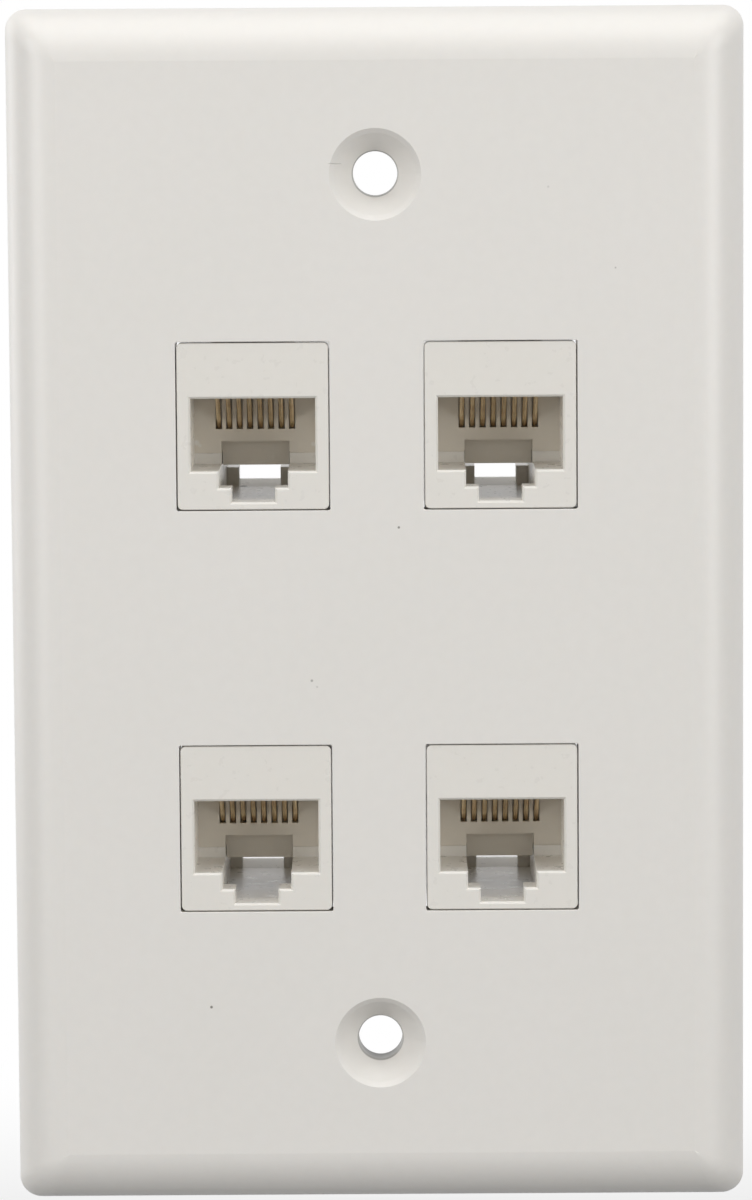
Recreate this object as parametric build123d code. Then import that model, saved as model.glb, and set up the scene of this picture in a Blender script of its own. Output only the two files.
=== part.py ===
from build123d import *
import os

# Keystone faceplate: a one-gang wall plate with four snap-in couplers.
# Millimetres. X is to the right, Y goes back into the wall and Z is up.
# The origin is midway between the screw holes, on the plane that meets the wall.
# Every piece is built with its front face at Y = 0 and then moved to its place.

# Plate
plate_width = 70.4
plate_height = 114.9
plate_depth = 5.7
plate_corner_radius = 2.0
plate_rim_flat = 0.7
face_thickness = 2.2
rim_wall = 1.8
rib_thickness = 1.0
rib_height = 2.4

# Screw holes
screw_spacing = 83.34
screw_hole_diameter = 4.25
hole_edge_chamfer = 0.1
hole_edge_depth = 0.25
bowl_diameter = 8.5
bowl_depth = 2.8
bowl_edge_chamfer = 0.13
boss_diameter = 11.0

# Ports in the plate, and the collars behind them
port_width = 14.67
port_height = 16.12
port_corner_radius = 0.2
port_edge_chamfer = 0.05
port_pitch_x = 23.57
port_pitch_z = 38.63
port_group_drop = 1.49
port_columns = {"left": -0.5, "right": 0.5}
port_rows = {"upper": 0.5, "lower": -0.5}
collar_side_room = 0.165
collar_wall = 1.2
collar_depth = 9.8
collar_room_above = 4.2
collar_room_below = 2.8
ledge_thickness = 1.6
ledge_edge_above = 2.55
ledge_edge_below = 1.1

# Coupler outside
face_set_back = 0.1
port_clearance = 0.12
shoulder_clearance = 0.1
ledge_clearance = 0.2
hook_clearance = 0.15
face_corner_radius = 0.5
body_corner_radius = 0.4
face_edge_chamfer = 0.08
seam_set_forward = 1.9
seam_chamfer = 0.15
rear_edge_chamfer = 0.3

# Latch arm on top of a coupler and fixed lug below it
latch_width = 8.0
latch_thickness = 1.4
latch_gap = 1.8
latch_root_length = 1.6
latch_root_height = 0.6
latch_top_clearance = 0.4
latch_shoulder = 1.0
latch_shoulder_length = 1.4
latch_tail_length = 4.0
lug_width = 10.0
lug_length = 1.8
lug_end_clearance = 0.4

# Socket opening: its walls, and the steps of its floor from the bottom up
socket_side_wall = 1.265
socket_brow = 5.28
slot_sill = 0.7
slot_rise = 1.36
step_rise = 1.59
step_width = 6.6
slot_width = 4.15
channel_wall = 1.14
front_wall = 1.6
lip_depth = 3.4
opening_chamfer = 0.2
sill_depth = 1.0

# Pocket that holds a contact carrier
pocket_step = 0.3
pocket_roof = 1.06
pocket_rise = 1.01
comb_depth = 10.2
riser_set_forward = 0.2
fit_gap = 0.05

# Contact carrier
carrier_thickness = 3.85
comb_slot_width = 0.62
comb_slot_depth = 1.7
comb_slot_rise = 1.17
recess_depth = 1.7
recess_rise = 1.16
tongue_drop = 0.26
tongue_clearance = 0.06
roof_rise = 0.94
roof_thickness = 0.85
carrier_clearance = 0.1

# Contact wires
contact_count = 8
contact_pitch = 1.015
contact_diameter = 0.42
contact_bend_radius = 0.65
contact_bend_point = 1.7
contact_tip_reach = 0.9
contact_tip_rise = 0.23
contact_roof_clearance = 0.525
front_run_rise = 1.2
rear_run_rise = 0.3
contact_stub = 0.3

# Circuit board between the two carriers
board_thickness = 1.2
board_rise = 1.48
board_hole_diameter = 0.6

# Side snaps that hold the two housings together
snap_length = 3.4
snap_width = 5.0
snap_thickness = 0.45
snap_window_width = 2.8
snap_window_length = 1.4
snap_window_inset = 0.8
snap_bump_clearance = 0.1

# Cuts run this far past a face, so that they leave no skin
overshoot = 1.0

plate_edge_radius = plate_depth - plate_rim_flat
collar_inner_width = port_width + 2 * collar_side_room
port_top_edge = port_height / 2
face_half_width = port_width / 2 - port_clearance
face_half_height = port_height / 2 - port_clearance
carrier_back = comb_depth + carrier_thickness
board_front = carrier_back + fit_gap
half_length = board_front + board_thickness / 2
coupler_length = 2 * half_length
seam_depth = half_length - seam_set_forward
rear_housing_length = coupler_length - seam_depth
shoulder_depth = face_thickness - face_set_back + shoulder_clearance
hook_depth = collar_depth - ledge_thickness - face_set_back - hook_clearance
tail_depth = collar_depth - face_set_back + hook_clearance
notch_height = port_top_edge + ledge_edge_above - ledge_clearance
latch_hook = collar_room_above - ledge_edge_above + ledge_clearance - latch_top_clearance
lug_height = collar_room_below - ledge_edge_below + ledge_clearance - lug_end_clearance
latch_underside = notch_height - latch_thickness
body_top = latch_underside - latch_gap
body_bottom = -(port_top_edge + ledge_edge_below - ledge_clearance)
socket_half_width = face_half_width - socket_side_wall
step_half_width = step_width / 2
slot_half_width = slot_width / 2
socket_top = face_half_height - socket_brow
slot_floor = -face_half_height + slot_sill
step_floor = slot_floor + slot_rise
socket_floor = step_floor + step_rise
channel_floor = body_bottom + channel_wall
pocket_half_width = socket_half_width + pocket_step
pocket_top = body_top - pocket_roof
pocket_floor = socket_floor + pocket_rise
recess_top = pocket_floor + recess_rise
comb_slot_end = recess_top + comb_slot_rise
tongue_bottom = socket_floor - tongue_drop
roof_underside = socket_top + roof_rise
groove_floor = roof_underside + roof_thickness
front_run_height = groove_floor + front_run_rise
rear_run_height = groove_floor + rear_run_rise
contact_tip_depth = comb_depth + contact_tip_reach
contact_tip_height = comb_slot_end + contact_tip_rise
contact_arm_drop = front_run_height - contact_tip_height
contact_arm_slope = contact_arm_drop / (contact_tip_depth - contact_bend_point)
roof_front_drop = front_run_height - roof_underside + contact_roof_clearance
roof_front = contact_bend_point + roof_front_drop / contact_arm_slope
board_bottom = pocket_floor + board_rise
contact_places = [(i - (contact_count - 1) / 2) * contact_pitch for i in range(contact_count)]


def between(x, y, z):
    """A box between a low and a high limit along each axis."""
    limits = (x, y, z)
    size = [high - low for low, high in limits]
    centre = [(low + high) / 2 for low, high in limits]
    return Pos(*centre) * Box(*size)


def both_sides(half):
    """Limits that lie evenly about the middle."""
    return (-half, half)


def side_prism(points, half_width):
    """A solid of constant width across X, from its outline as (Y, Z) points."""
    outline = Plane.YZ * make_face(Polyline(*points, close=True))
    return extrude(outline, half_width, both=True)


def round_bar(diameter, y):
    """A round bar along Y between two depths."""
    low, high = y
    return Pos(0, (low + high) / 2, 0) * Rot(90, 0, 0) * Cylinder(diameter / 2, high - low)


def long_edges_rounded(solid, radius):
    """Rounds the edges that run from front to back."""
    return fillet(solid.edges().filter_by(Axis.Y), radius)


def turned_round(piece):
    """The same piece facing the other end of the coupler."""
    return Pos(0, coupler_length, 0) * Rot(0, 0, 180) * piece


def port_places():
    """The name, X and Z of each port."""
    for row, row_step in port_rows.items():
        for column, column_step in port_columns.items():
            place_z = row_step * port_pitch_z - port_group_drop
            yield f"{row}_{column}", column_step * port_pitch_x, place_z


def screw_places():
    """The height of each screw hole."""
    return (screw_spacing / 2, -screw_spacing / 2)


def plate_shell():
    """The plate's front and rim, with large rounded front edges."""
    shell = between(
        both_sides(plate_width / 2), (0, plate_depth), both_sides(plate_height / 2)
    )
    shell = long_edges_rounded(shell, plate_corner_radius)
    shell = fillet(shell.faces().sort_by(Axis.Y)[0].edges(), plate_edge_radius)
    hollow = between(
        both_sides(plate_width / 2 - rim_wall),
        (face_thickness, plate_depth + overshoot),
        both_sides(plate_height / 2 - rim_wall),
    )
    return shell - hollow


def plate_ribs():
    """One upright rib and one level rib across the back of the plate."""
    depth = (face_thickness - fit_gap, face_thickness + rib_height)
    level = -port_group_drop
    upright = between(both_sides(rib_thickness / 2), depth, both_sides(screw_spacing / 2))
    across = between(
        both_sides(plate_width / 2 - rim_wall),
        depth,
        (level - rib_thickness / 2, level + rib_thickness / 2),
    )
    return upright + across


def collar():
    """The walls behind one port, before its space is cut."""
    return between(
        both_sides(collar_inner_width / 2 + collar_wall),
        (face_thickness - fit_gap, collar_depth),
        (
            -port_top_edge - collar_room_below - collar_wall,
            port_top_edge + collar_room_above + collar_wall,
        ),
    )


def port_space():
    """The opening in the face, the collar's room and the gap between its ledges."""
    ledge_front = collar_depth - ledge_thickness
    opening = between(
        both_sides(port_width / 2),
        (-overshoot, face_thickness + fit_gap),
        both_sides(port_height / 2),
    )
    opening = long_edges_rounded(opening, port_corner_radius)
    room = between(
        both_sides(collar_inner_width / 2),
        (face_thickness, ledge_front),
        (-port_top_edge - collar_room_below, port_top_edge + collar_room_above),
    )
    ledge_gap = between(
        both_sides(collar_inner_width / 2),
        (ledge_front - fit_gap, collar_depth + overshoot),
        (-port_top_edge - ledge_edge_below, port_top_edge + ledge_edge_above),
    )
    return opening + room + ledge_gap


def tapered_bar(diameters, y):
    """A cone along Y, from its diameter at the first depth to that at the second."""
    near, far = diameters
    low, high = y
    cone = Cone(far / 2, near / 2, high - low)
    return Pos(0, (low + high) / 2, 0) * Rot(90, 0, 0) * cone


def screw_bowl():
    """A conical sink in the face with broken edges, and the screw's hole through it."""
    mouth = bowl_diameter + 2 * bowl_edge_chamfer
    hole_mouth = screw_hole_diameter + 2 * hole_edge_chamfer
    edge = tapered_bar((mouth + 2 * overshoot, mouth - 2 * overshoot), (-overshoot, overshoot))
    sink = tapered_bar((bowl_diameter, hole_mouth), (0, bowl_depth))
    hole_edge = tapered_bar(
        (hole_mouth, screw_hole_diameter), (bowl_depth, bowl_depth + hole_edge_depth)
    )
    return edge + sink + hole_edge + round_bar(screw_hole_diameter, (0, plate_depth + overshoot))


def with_opening_edges(solid, size):
    """Breaks the edges of the openings in the front face."""
    face = solid.faces().sort_by(Axis.Y)[0]
    return chamfer(face.inner_wires().edges(), size)


def faceplate():
    """The whole plate as one moulding."""
    plate = plate_shell() + plate_ribs()
    for height in screw_places():
        plate += Pos(0, 0, height) * round_bar(boss_diameter, (face_thickness - fit_gap, plate_depth))
    for _, place_x, place_z in port_places():
        plate += Pos(place_x, 0, place_z) * collar()
    for _, place_x, place_z in port_places():
        plate -= Pos(place_x, 0, place_z) * port_space()
    plate = with_opening_edges(plate, port_edge_chamfer)
    for height in screw_places():
        plate -= Pos(0, 0, height) * screw_bowl()
    return plate


def socket_space(housing_length):
    """All that is open in one end of a coupler, from its face to its housing's end."""
    riser_depth = comb_depth - riser_set_forward
    plug_room = between(
        both_sides(socket_half_width), (-overshoot, riser_depth), (socket_floor, socket_top)
    )
    contact_room = between(
        both_sides(socket_half_width), (front_wall, riser_depth), (socket_top, pocket_top)
    )
    pocket_mouth = between(
        both_sides(socket_half_width), (riser_depth, comb_depth), (pocket_floor, pocket_top)
    )
    pocket = between(
        both_sides(pocket_half_width),
        (comb_depth, housing_length + overshoot),
        (pocket_floor, pocket_top),
    )
    step = between(both_sides(step_half_width), (-overshoot, lip_depth), (step_floor, socket_floor))
    slot = between(both_sides(slot_half_width), (-overshoot, lip_depth), (slot_floor, step_floor))
    channel = between(
        both_sides(step_half_width),
        (lip_depth, housing_length + overshoot),
        (channel_floor, pocket_floor),
    )
    return plug_room + contact_room + pocket_mouth + pocket + step + slot + channel


def latch_arm():
    """The springy arm that grips the collar's upper ledge."""
    root_bottom = body_top - latch_root_height
    root_back = shoulder_depth + latch_root_length
    shoulder_top = notch_height + latch_shoulder
    tail_end = tail_depth + latch_tail_length
    return side_prism(
        [
            (shoulder_depth, root_bottom),
            (shoulder_depth, port_top_edge + latch_root_height),
            (hook_depth, notch_height + latch_hook),
            (hook_depth, notch_height),
            (tail_depth, notch_height),
            (tail_depth, shoulder_top),
            (tail_depth + latch_shoulder_length, shoulder_top),
            (tail_end, notch_height),
            (tail_end, latch_underside),
            (root_back + latch_gap, latch_underside),
            (root_back, body_top),
            (root_back, root_bottom),
        ],
        latch_width / 2,
    )


def fixed_lug():
    """The tooth that sits behind the face and ahead of the lower ledge."""
    lug_front = hook_depth - lug_length
    lug_bottom = body_bottom - lug_height
    return side_prism(
        [
            (lug_front, body_bottom + fit_gap),
            (lug_front, body_bottom),
            (lug_front + lug_height / 2, lug_bottom),
            (hook_depth, lug_bottom),
            (hook_depth, body_bottom + fit_gap),
        ],
        lug_width / 2,
    )


def snap_recess():
    """The shallow place for a side snap in the front housing's right wall."""
    return between(
        (face_half_width - snap_thickness - fit_gap, face_half_width + overshoot),
        (seam_depth - snap_length - fit_gap, seam_depth + overshoot),
        both_sides(snap_width / 2 + fit_gap),
    )


def snap_bump():
    """The wedge on the front housing that fills the snap's window."""
    floor = face_half_width - snap_thickness - fit_gap
    front = seam_depth - snap_length + snap_window_inset + snap_bump_clearance
    back = front + snap_window_length - 2 * snap_bump_clearance
    outline = make_face(
        Polyline(
            (floor - fit_gap, front),
            (face_half_width, front),
            (floor, back),
            (floor - fit_gap, back),
            close=True,
        )
    )
    return extrude(outline, snap_window_width / 2 - snap_bump_clearance, both=True)


def side_snap():
    """The rear housing's tongue, with the window that catches the bump."""
    tongue = between(
        (face_half_width - snap_thickness, face_half_width),
        (rear_housing_length - seam_chamfer - fit_gap, rear_housing_length + snap_length),
        both_sides(snap_width / 2),
    )
    window_far = rear_housing_length + snap_length - snap_window_inset
    window = between(
        (face_half_width - overshoot, face_half_width + overshoot),
        (window_far - snap_window_length, window_far),
        both_sides(snap_window_width / 2),
    )
    return tongue - window


def on_both_sides(piece):
    """A piece of the right wall together with its twin on the left."""
    return piece + mirror(piece, about=Plane.YZ)


def front_housing():
    """The coupler's front part: face, body, latch arm and lug."""
    face = between(both_sides(face_half_width), (0, shoulder_depth), both_sides(face_half_height))
    face = long_edges_rounded(face, face_corner_radius)
    face = chamfer(face.faces().sort_by(Axis.Y)[0].edges(), face_edge_chamfer)
    body = between(
        both_sides(face_half_width), (shoulder_depth, seam_depth), (body_bottom, body_top)
    )
    body = long_edges_rounded(body, body_corner_radius)
    body = chamfer(body.faces().sort_by(Axis.Y)[-1].edges(), seam_chamfer)
    housing = face + body + latch_arm() + fixed_lug()
    housing -= socket_space(seam_depth)
    housing -= on_both_sides(snap_recess())
    housing += on_both_sides(snap_bump())
    return with_opening_edges(housing, opening_chamfer)


def rear_housing():
    """The coupler's rear part, built with its own face at Y = 0."""
    body = between(
        both_sides(face_half_width), (0, rear_housing_length), (body_bottom, body_top)
    )
    body = long_edges_rounded(body, body_corner_radius)
    body = chamfer(body.faces().sort_by(Axis.Y)[-1].edges(), seam_chamfer)
    body = chamfer(body.faces().sort_by(Axis.Y)[0].edges(), rear_edge_chamfer)
    sill_ramp = side_prism(
        [(sill_depth, slot_floor), (lip_depth, slot_floor), (lip_depth, channel_floor)],
        slot_half_width,
    )
    housing = body - socket_space(rear_housing_length) - sill_ramp
    housing += on_both_sides(side_snap())
    return with_opening_edges(housing, opening_chamfer)


def contact_carrier():
    """The comb at the back of a socket and the grooved roof over the contacts."""
    half_width = pocket_half_width - carrier_clearance
    top = pocket_top - carrier_clearance
    comb = between(both_sides(half_width), (comb_depth, carrier_back), (pocket_floor, top))
    recess = between(
        both_sides(step_half_width),
        (0, comb_depth + recess_depth),
        (pocket_floor - overshoot, recess_top),
    )
    tongue = between(
        both_sides(step_half_width - tongue_clearance),
        (comb_depth + recess_depth, carrier_back),
        (tongue_bottom, pocket_floor),
    )
    roof = between(
        both_sides(socket_half_width - carrier_clearance),
        (roof_front, comb_depth),
        (roof_underside, top),
    )
    carrier = comb - recess + tongue + roof
    for place in contact_places:
        width = (place - comb_slot_width / 2, place + comb_slot_width / 2)
        slot_back = comb_depth + comb_slot_depth
        carrier -= between(width, (comb_depth - fit_gap, slot_back), (comb_slot_end, top))
        carrier -= between(
            width, (roof_front - overshoot, carrier_back + overshoot), (groove_floor, top + overshoot)
        )
    return carrier


def contact_wire(run_height):
    """One bent spring wire: its run over the roof, its bend and its sprung arm."""
    stub_end = board_front + board_thickness + contact_stub
    line = FilletPolyline(
        (stub_end, run_height),
        (contact_bend_point, run_height),
        (contact_tip_depth, contact_tip_height),
        radius=contact_bend_radius,
    )
    route = Plane.YZ * line
    section = Plane(origin=route @ 0, z_dir=route % 0) * Circle(contact_diameter / 2)
    return sweep(section, path=route)


def contact_set(run_height):
    """The row of separate wires in one socket."""
    wire = contact_wire(run_height)
    return Part() + [Pos(place, 0, 0) * wire for place in contact_places]


def circuit_board():
    """The board that joins the front wires to the rear ones."""
    board = between(
        both_sides(pocket_half_width - carrier_clearance),
        (board_front, board_front + board_thickness),
        (board_bottom, pocket_top - carrier_clearance),
    )
    hole = round_bar(board_hole_diameter, (0, coupler_length))
    for place in contact_places:
        for height in (front_run_height, rear_run_height):
            board -= Pos(place, 0, height) * hole
    return board


def coupler_pieces():
    """Every piece of one coupler, with its front face at Y = 0."""
    return {
        "front_housing": front_housing(),
        "rear_housing": turned_round(rear_housing()),
        "front_carrier": contact_carrier(),
        "rear_carrier": turned_round(contact_carrier()),
        "front_contacts": contact_set(front_run_height),
        "rear_contacts": turned_round(contact_set(rear_run_height)),
        "circuit_board": circuit_board(),
    }


os.makedirs("parts", exist_ok=True)
export_step(Pos(0, -plate_depth, 0) * faceplate(), "parts/faceplate.step")
pieces = coupler_pieces()
for port, place_x, place_z in port_places():
    place = Pos(place_x, face_set_back - plate_depth, place_z)
    for name, piece in pieces.items():
        export_step(place * piece, f"parts/{port}_{name}.step")
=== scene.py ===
import math

import bpy
from mathutils import Matrix, Vector

# Looks of the keystone faceplate: camera, light, stage and materials.
# Lengths are in metres in the part's own frame. The marks on the part are listed
# in millimetres. The plate's front faces -Y.

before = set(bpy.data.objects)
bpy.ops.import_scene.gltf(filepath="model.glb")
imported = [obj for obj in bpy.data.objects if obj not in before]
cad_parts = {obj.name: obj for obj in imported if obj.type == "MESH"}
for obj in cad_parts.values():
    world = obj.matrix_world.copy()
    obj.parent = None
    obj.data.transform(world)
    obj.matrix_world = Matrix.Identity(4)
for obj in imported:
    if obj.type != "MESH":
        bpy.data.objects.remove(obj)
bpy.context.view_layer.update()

MM = 0.001

# Camera, as fitted to the photo.

FRAME_HEIGHT_PX = 1200
FOCAL_PX = 5311.32
SENSOR = 36.0
CAMERA_AT = Vector((0.00118, -0.509941, 0.052686))
CAMERA_PITCH = 0.101824
CAMERA_YAW = -0.002676
CAMERA_ROLL = -0.006643


def camera_axes(pitch, yaw, roll):
    """Right, up and forward of a camera that looks along +Y before it turns."""
    forward = Vector(
        (math.sin(yaw) * math.cos(pitch), math.cos(yaw) * math.cos(pitch), -math.sin(pitch))
    )
    level_right = Vector((math.cos(yaw), -math.sin(yaw), 0))
    level_up = level_right.cross(forward)
    right = math.cos(roll) * level_right + math.sin(roll) * level_up
    up = math.cos(roll) * level_up - math.sin(roll) * level_right
    return right, up, forward


def add_camera():
    lens = bpy.data.cameras.new("camera")
    lens.sensor_width = SENSOR
    lens.lens = FOCAL_PX * SENSOR / FRAME_HEIGHT_PX
    lens.clip_start = 0.01
    lens.clip_end = 50
    camera = bpy.data.objects.new("camera", lens)
    right, up, forward = camera_axes(CAMERA_PITCH, CAMERA_YAW, CAMERA_ROLL)
    turn = Matrix((right, up, -forward)).transposed()
    camera.matrix_world = Matrix.Translation(CAMERA_AT) @ turn.to_4x4()
    bpy.context.scene.collection.objects.link(camera)
    bpy.context.scene.camera = camera


# Short calls for shader node trees.


class Tree:
    """Adds shader nodes to one tree and returns their output sockets."""

    def __init__(self, nodes_of):
        self.tree = nodes_of
        self.tree.nodes.clear()

    def add(self, kind, **settings):
        made = self.tree.nodes.new(kind)
        for name, value in settings.items():
            setattr(made, name, value)
        return made

    def put(self, value, socket):
        """Links a socket, or sets a plain value."""
        if isinstance(value, bpy.types.NodeSocket):
            self.tree.links.new(value, socket)
        else:
            socket.default_value = value

    def math(self, operation, first, second=0.0):
        made = self.add("ShaderNodeMath", operation=operation)
        self.put(first, made.inputs[0])
        self.put(second, made.inputs[1])
        return made.outputs[0]

    def place(self):
        """The point's place in the part's frame."""
        return self.add("ShaderNodeTexCoord").outputs["Object"]

    def noise(self, place, scale, detail=2.0):
        made = self.add("ShaderNodeTexNoise")
        self.put(place, made.inputs["Vector"])
        made.inputs["Scale"].default_value = scale
        made.inputs["Detail"].default_value = detail
        return made.outputs["Fac"]

    def range(self, value, from_low, from_high, to_low, to_high, smooth=False):
        made = self.add("ShaderNodeMapRange")
        made.interpolation_type = "SMOOTHSTEP" if smooth else "LINEAR"
        self.put(value, made.inputs["Value"])
        made.inputs["From Min"].default_value = from_low
        made.inputs["From Max"].default_value = from_high
        made.inputs["To Min"].default_value = to_low
        made.inputs["To Max"].default_value = to_high
        return made.outputs["Result"]

    def mix(self, factor, first, second, blend="MIX"):
        made = self.add("ShaderNodeMix", data_type="RGBA", blend_type=blend)
        self.put(factor, made.inputs[0])
        self.put(first, made.inputs[6])
        self.put(second, made.inputs[7])
        return made.outputs[2]

    def axes(self, place):
        made = self.add("ShaderNodeSeparateXYZ")
        self.put(place, made.inputs[0])
        return made.outputs

    def join(self, x, y, z):
        made = self.add("ShaderNodeCombineXYZ")
        for value, socket in zip((x, y, z), made.inputs):
            self.put(value, socket)
        return made.outputs[0]

    def distance(self, place, point):
        made = self.add("ShaderNodeVectorMath", operation="DISTANCE")
        self.put(place, made.inputs[0])
        self.put(point, made.inputs[1])
        return made.outputs["Value"]

    def bump(self, height, distance, strength=1.0, under=None):
        made = self.add("ShaderNodeBump")
        made.inputs["Distance"].default_value = distance
        made.inputs["Strength"].default_value = strength
        self.put(height, made.inputs["Height"])
        if under is not None:
            self.put(under, made.inputs["Normal"])
        return made.outputs["Normal"]


def colour(red, green, blue):
    return (red, green, blue, 1.0)


def new_material(name):
    material = bpy.data.materials.new(name)
    material.use_nodes = True
    return material, Tree(material.node_tree)


def finish_material(tree, surface):
    out = tree.add("ShaderNodeOutputMaterial")
    tree.put(surface, out.inputs["Surface"])


# Small marks on the part, in millimetres: dirt specks, a scratch, painted highlights and
# painted shade in the screw holes.

# The Y of the plate's front face.
FACE_Y = -5.7
DIRT = colour(0.10, 0.08, 0.06)
# The pale tone of the painted highlights.
GLINT_TONE = colour(0.95, 0.95, 0.93)

# Each mark has its X, Y and Z, its radius and how much of its tone it gives.
PLATE_SPECKS = (
    (-33.5, FACE_Y, 47.0, 0.11, 0.55),
    (16.4, FACE_Y, 40.4, 0.12, 0.18),
    (22.75, FACE_Y, 32.7, 0.10, 0.35),
    (2.05, FACE_Y, 8.1, 0.13, 0.75),
    (-6.35, FACE_Y, -6.55, 0.14, 0.5),
    (-5.85, FACE_Y, -7.15, 0.12, 0.2),
    (-16.25, FACE_Y, -38.1, 0.15, 0.8),
)
CHANNEL_SPECKS = (
    (-13.42, 20.4, 10.0, 0.45, 0.8),
    (-12.1, 9.8, -28.6, 0.3, 0.25),
    (-9.57, 13.8, -28.6, 0.3, 0.3),
    (13.9, 9.1, 10.0, 0.3, 0.35),
    (10.48, 20.4, -29.0, 0.35, 0.2),
    (11.89, 20.4, -29.0, 0.35, 0.25),
)
# Painted highlights: pale spots where light catches the sides of the carrier's back wall in
# the upper left socket.
BACK_WALL_GLINTS = (
    (-17.5, 4.6, 15.57, 0.3, 0.5),
    (-17.2, 4.6, 15.3, 0.2, 0.4),
    (-6.18, 4.6, 15.38, 0.25, 0.4),
)

# A spot keeps its full tone to the first share of its radius and ends at the second.
SPOT_FADE = (0.5, 1.2)

# The fine scratch beside the upper screw hole: X and Z of its two ends, its width, and
# the share of its half length where its ends begin to fade.
SCRATCH_ENDS = ((-4.5, 42.62), (-3.15, 42.66))
SCRATCH_WIDTH = 0.09
SCRATCH_FADE = 0.8

# Painted shade in each screw hole: a dark line at the mouth and down the bore, where shade
# falls. It fades out between the two radii.
# Down the bore, from the first Y to the second, it gives from the first to the second share
# of its tone.
# The holes are at X 0.
SCREW_Z = 41.67
HOLE_SHADE_RADII = (2.19, 2.27)
HOLE_SHADE_Y = (-2.9, -0.6)
HOLE_SHADE_SHARES = (0.6, 0.9)
HOLE_SHADE_TONE = colour(0.17, 0.165, 0.155)


def spot(tree, place, x, y, z, radius):
    """1 inside a small round spot, 0 outside it."""
    away = tree.distance(place, (x * MM, y * MM, z * MM))
    full, none = SPOT_FADE
    return tree.range(away, radius * full * MM, radius * none * MM, 1.0, 0.0, smooth=True)


def with_spots(tree, place, base, spots, tone):
    """The base colour with small spots of another tone on it."""
    for x, y, z, radius, depth in spots:
        mask = tree.math("MULTIPLY", spot(tree, place, x, y, z, radius), depth)
        base = tree.mix(mask, base, tone)
    return base


def scratch_height(tree, place):
    """A shallow level groove between the scratch's two ends."""
    x, _, z = tree.axes(place)
    (x0, z0), (x1, z1) = SCRATCH_ENDS
    half = (x1 - x0) / 2 * MM
    along = tree.math("ABSOLUTE", tree.math("SUBTRACT", x, (x0 + x1) / 2 * MM))
    across = tree.math("ABSOLUTE", tree.math("SUBTRACT", z, (z0 + z1) / 2 * MM))
    inside = tree.range(along, half * SCRATCH_FADE, half, 1.0, 0.0, smooth=True)
    thin = tree.range(across, 0.0, SCRATCH_WIDTH * MM, 1.0, 0.0, smooth=True)
    return tree.math("MULTIPLY", inside, thin)


def painted_hole_shade(tree, place):
    """How much of the painted shade a point has: none outside the screw holes."""
    x, y, z = tree.axes(place)
    beyond = tree.math("SUBTRACT", tree.math("ABSOLUTE", z), SCREW_Z * MM)
    away = tree.distance(tree.join(x, 0.0, beyond), (0, 0, 0))
    inner, outer = HOLE_SHADE_RADII
    near = tree.range(away, inner * MM, outer * MM, 1.0, 0.0, smooth=True)
    front, back = HOLE_SHADE_Y
    share = tree.range(y, front * MM, back * MM, *HOLE_SHADE_SHARES)
    return tree.math("MULTIPLY", near, share)


# Materials of the pieces. Noise scales are in waves per metre, heights in metres.

# The part of a noise's range that holds nearly all its values.
NOISE_SPAN = (0.3, 0.7)

# Each plastic has two tones, which its mottling mixes.
PLATE_TONES = (colour(0.88, 0.853, 0.81), colour(0.87, 0.845, 0.80))
HOUSING_TONES = (colour(0.87, 0.842, 0.785), colour(0.865, 0.835, 0.775))
CARRIER_TONES = (colour(0.81, 0.755, 0.66), colour(0.79, 0.735, 0.64))

MOTTLE_SCALE = 45.0
SHEEN_SCALE = 900.0
PLASTIC_DETAIL = 3.0
DARKEST_SHADE = 0.985
GLOSS_SPREAD = 0.04
WAVE_SCALE = 160.0
WAVE_HEIGHT = 0.00002
WAVE_STRENGTH = 0.25
GRAIN_SCALE = 5200.0
GRAIN_HEIGHT = 0.0000025
SCRATCH_DEPTH = 0.00006
PLASTIC_IOR = 1.49
SUBSURFACE_WEIGHT = 0.1
SUBSURFACE_RADIUS = (1.0, 0.85, 0.7)
SUBSURFACE_SCALE = 0.0006

GOLD_TONES = (colour(0.94, 0.79, 0.55), colour(0.78, 0.6, 0.39))
GOLD_ROUGHNESS = (0.3, 0.45)
GOLD_PATCH_SCALE = 700.0
GOLD_PATCH_DETAIL = 3.0
GOLD_PATCH_SPAN = (0.35, 0.7)
DRAWN_LINES_ACROSS = 9000.0
DRAWN_LINES_ALONG = 400.0
DRAWN_LINE_HEIGHT = 0.000004
DRAWN_LINE_STRENGTH = 0.5

MASK_TONES = (colour(0.03, 0.14, 0.06), colour(0.05, 0.2, 0.09))
MASK_ROUGHNESS = (0.25, 0.4)
MASK_PATCH_SCALE = 300.0
WEAVE_SCALE = 2600.0
WEAVE_HEIGHT = 0.000004
WEAVE_STRENGTH = 0.4


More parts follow.
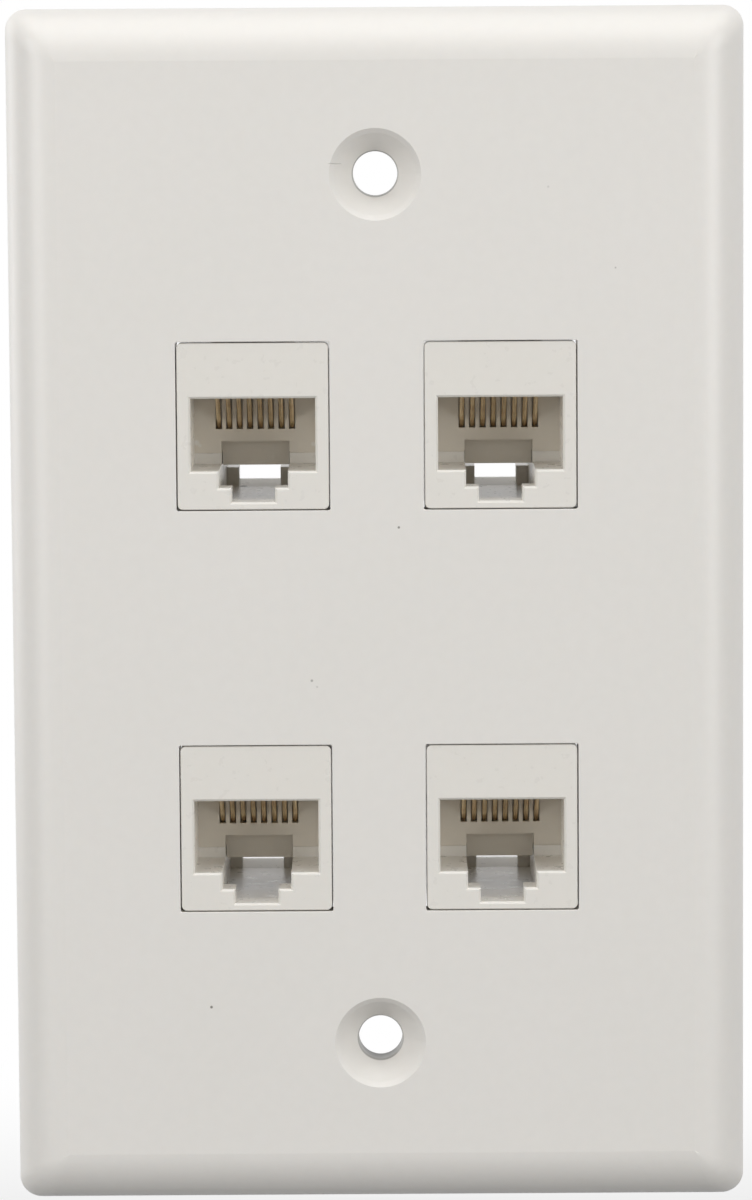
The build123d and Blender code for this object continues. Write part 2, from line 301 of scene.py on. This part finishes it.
def moulded_plastic(
    name, tones, roughness, grain, specks=(), glints=(), scratch_and_hole_shade=False
):
    """White moulded plastic: faint mottling, a fine satin grain and soft flow waves.

    The last flag adds the scratch and the painted shade at the mouth and down the bore of
    the screw holes.
    """
    material, tree = new_material(name)
    place = tree.place()
    broad = tree.noise(place, MOTTLE_SCALE, PLASTIC_DETAIL)
    fine = tree.noise(place, SHEEN_SCALE, PLASTIC_DETAIL)
    tone = tree.mix(tree.range(broad, *NOISE_SPAN, 0.0, 1.0), *tones)
    shade = tree.range(fine, *NOISE_SPAN, DARKEST_SHADE, 1.0)
    tone = tree.mix(1.0, tone, tree.join(shade, shade, shade), "MULTIPLY")
    tone = with_spots(tree, place, tone, specks, DIRT)
    # Painted highlights: pale spots on the carrier's back wall.
    tone = with_spots(tree, place, tone, glints, GLINT_TONE)
    # Painted shade at the mouth and down the bore of the screw holes.
    if scratch_and_hole_shade:
        tone = tree.mix(painted_hole_shade(tree, place), tone, HOLE_SHADE_TONE)
    normal = tree.bump(tree.noise(place, WAVE_SCALE), WAVE_HEIGHT, WAVE_STRENGTH)
    normal = tree.bump(tree.noise(place, GRAIN_SCALE), GRAIN_HEIGHT, grain, under=normal)
    if scratch_and_hole_shade:
        groove = tree.math("SUBTRACT", 1.0, scratch_height(tree, place))
        normal = tree.bump(groove, SCRATCH_DEPTH, under=normal)
    shader = tree.add("ShaderNodeBsdfPrincipled")
    tree.put(tone, shader.inputs["Base Color"])
    gloss = tree.range(fine, *NOISE_SPAN, roughness - GLOSS_SPREAD, roughness + GLOSS_SPREAD)
    tree.put(gloss, shader.inputs["Roughness"])
    tree.put(normal, shader.inputs["Normal"])
    shader.inputs["IOR"].default_value = PLASTIC_IOR
    shader.inputs["Subsurface Weight"].default_value = SUBSURFACE_WEIGHT
    shader.inputs["Subsurface Radius"].default_value = SUBSURFACE_RADIUS
    shader.inputs["Subsurface Scale"].default_value = SUBSURFACE_SCALE
    finish_material(tree, shader.outputs[0])
    return material


def gold_contact():
    """Gold plated spring wire, with drawing lines and browner patches."""
    material, tree = new_material("contact_gold")
    place = tree.place()
    x, y, z = tree.axes(place)
    stretched = tree.join(
        tree.math("MULTIPLY", x, DRAWN_LINES_ACROSS),
        tree.math("MULTIPLY", y, DRAWN_LINES_ALONG),
        tree.math("MULTIPLY", z, DRAWN_LINES_ALONG),
    )
    lines = tree.noise(stretched, 1.0)
    uneven = tree.noise(place, GOLD_PATCH_SCALE, GOLD_PATCH_DETAIL)
    patches = tree.range(uneven, *GOLD_PATCH_SPAN, 0.0, 1.0)
    tone = tree.mix(patches, *GOLD_TONES)
    shader = tree.add("ShaderNodeBsdfPrincipled")
    tree.put(tone, shader.inputs["Base Color"])
    tree.put(tree.range(lines, *NOISE_SPAN, *GOLD_ROUGHNESS), shader.inputs["Roughness"])
    normal = tree.bump(lines, DRAWN_LINE_HEIGHT, DRAWN_LINE_STRENGTH)
    tree.put(normal, shader.inputs["Normal"])
    shader.inputs["Metallic"].default_value = 1.0
    finish_material(tree, shader.outputs[0])
    return material


def board_mask():
    """Green solder mask over a woven glass board."""
    material, tree = new_material("board")
    place = tree.place()
    weave = tree.noise(place, WEAVE_SCALE)
    patches = tree.noise(place, MASK_PATCH_SCALE)
    tone = tree.mix(tree.range(weave, *NOISE_SPAN, 0.0, 1.0), *MASK_TONES)
    shader = tree.add("ShaderNodeBsdfPrincipled")
    tree.put(tone, shader.inputs["Base Color"])
    tree.put(tree.range(patches, *NOISE_SPAN, *MASK_ROUGHNESS), shader.inputs["Roughness"])
    tree.put(tree.bump(weave, WEAVE_HEIGHT, WEAVE_STRENGTH), shader.inputs["Normal"])
    finish_material(tree, shader.outputs[0])
    return material


def give_materials():
    """Each piece gets the material of its kind."""
    plate = moulded_plastic(
        "plate_plastic",
        PLATE_TONES,
        roughness=0.36,
        grain=0.2,
        specks=PLATE_SPECKS,
        # Adds the scratch and the painted shade in the screw holes.
        scratch_and_hole_shade=True,
    )
    housing = moulded_plastic(
        "housing_plastic",
        HOUSING_TONES,
        roughness=0.3,
        grain=0.15,
        specks=CHANNEL_SPECKS,
    )
    carrier = moulded_plastic(
        "carrier_plastic",
        CARRIER_TONES,
        roughness=0.4,
        grain=0.2,
        # Painted highlights on the carrier's back wall.
        glints=BACK_WALL_GLINTS,
    )
    contact = gold_contact()
    kinds = {
        "faceplate": plate,
        "front_housing": housing,
        "rear_housing": housing,
        "front_carrier": carrier,
        "rear_carrier": carrier,
        "front_contacts": contact,
        "rear_contacts": contact,
        "circuit_board": board_mask(),
    }
    for name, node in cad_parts.items():
        kind = next(k for k in kinds if name.endswith(k))
        node.data.materials.clear()
        node.data.materials.append(kinds[kind])


# Light and stage.

# Each lamp has its name, place, width and height in metres, and power in watts.
LAMPS = (
    ("top", (0.0, 0.0, 0.70), 0.8, 0.5, 1.3),
    ("high", (0.0, -0.30, 0.62), 0.6, 0.4, 0.9),
    ("left", (-0.65, -0.55, 0.15), 0.4, 0.5, 2.6),
    ("right", (0.65, -0.55, 0.15), 0.4, 0.5, 2.8),
    ("back", (-0.70, 0.42, 0.15), 0.5, 0.5, 1.2),
)
ROOM_LIGHT = colour(0.315, 0.315, 0.315)
BACKGROUND = colour(1, 1, 1)
FLOOR_Z = -0.18
FLOOR_RADIUS = 0.75
FLOOR_CORNERS = 96

# The floor fades into the background between these two shares of its radius.
FLOOR_FADE = (0.35, 0.95)
FLOOR_GRAIN_SCALE = 30.0
FLOOR_PALE = (colour(0.86, 0.86, 0.86), colour(0.88, 0.88, 0.88))

# The floor's tone for rays that only carry light, so that it throws little of it up.
FLOOR_UNSEEN = colour(0.22, 0.22, 0.22)


def add_lamp(name, at, width, height, power):
    """A soft rectangular lamp that faces the part."""
    light = bpy.data.lights.new(name, "AREA")
    light.shape = "RECTANGLE"
    light.size = width
    light.size_y = height
    light.energy = power
    lamp = bpy.data.objects.new(name, light)
    lamp.location = at
    lamp.rotation_mode = "QUATERNION"
    lamp.rotation_quaternion = (-Vector(at)).to_track_quat("-Z", "Y")
    bpy.context.scene.collection.objects.link(lamp)


def seen_ray(tree):
    """1 for rays that show the background: from the camera, in gloss and through glass."""
    path = tree.add("ShaderNodeLightPath").outputs
    seen = tree.math("MAXIMUM", path["Is Camera Ray"], path["Is Glossy Ray"])
    return tree.math("MAXIMUM", seen, path["Is Transmission Ray"])


def add_world():
    """Even room light with a white background."""
    world = bpy.data.worlds.new("studio")
    world.use_nodes = True
    bpy.context.scene.world = world
    tree = Tree(world.node_tree)
    light = tree.add("ShaderNodeBackground")
    light.inputs["Color"].default_value = ROOM_LIGHT
    white = tree.add("ShaderNodeBackground")
    white.inputs["Color"].default_value = BACKGROUND
    both = tree.add("ShaderNodeMixShader")
    tree.put(seen_ray(tree), both.inputs[0])
    tree.put(light.outputs[0], both.inputs[1])
    tree.put(white.outputs[0], both.inputs[2])
    out = tree.add("ShaderNodeOutputWorld")
    tree.put(both.outputs[0], out.inputs["Surface"])


def floor_material():
    """Pale and matt near the part, fading into the white background."""
    material, tree = new_material("floor_white")
    place = tree.place()
    seen = seen_ray(tree)
    grain = tree.range(tree.noise(place, FLOOR_GRAIN_SCALE), *NOISE_SPAN, 0.0, 1.0)
    pale = tree.mix(grain, *FLOOR_PALE)
    matt = tree.add("ShaderNodeBsdfDiffuse")
    tree.put(tree.mix(seen, FLOOR_UNSEEN, pale), matt.inputs["Color"])
    white = tree.add("ShaderNodeEmission")
    out_from_middle = tree.distance(place, (0, 0, FLOOR_Z))
    start, end = FLOOR_FADE
    fade = tree.range(
        out_from_middle, FLOOR_RADIUS * start, FLOOR_RADIUS * end, 0.0, 1.0, smooth=True
    )
    both = tree.add("ShaderNodeMixShader")
    tree.put(tree.math("MULTIPLY", fade, seen), both.inputs[0])
    tree.put(matt.outputs[0], both.inputs[1])
    tree.put(white.outputs[0], both.inputs[2])
    finish_material(tree, both.outputs[0])
    return material


def add_floor():
    """A round floor below the part."""
    turns = [2 * math.pi * i / FLOOR_CORNERS for i in range(FLOOR_CORNERS)]
    rim = [(FLOOR_RADIUS * math.cos(t), FLOOR_RADIUS * math.sin(t), FLOOR_Z) for t in turns]
    mesh = bpy.data.meshes.new("floor")
    mesh.from_pydata(rim, [], [tuple(range(FLOOR_CORNERS))])
    mesh.materials.append(floor_material())
    floor = bpy.data.objects.new("floor", mesh)
    bpy.context.scene.collection.objects.link(floor)


add_camera()
give_materials()
add_world()
for lamp in LAMPS:
    add_lamp(*lamp)
add_floor()
bpy.context.scene.view_settings.view_transform = "Standard"
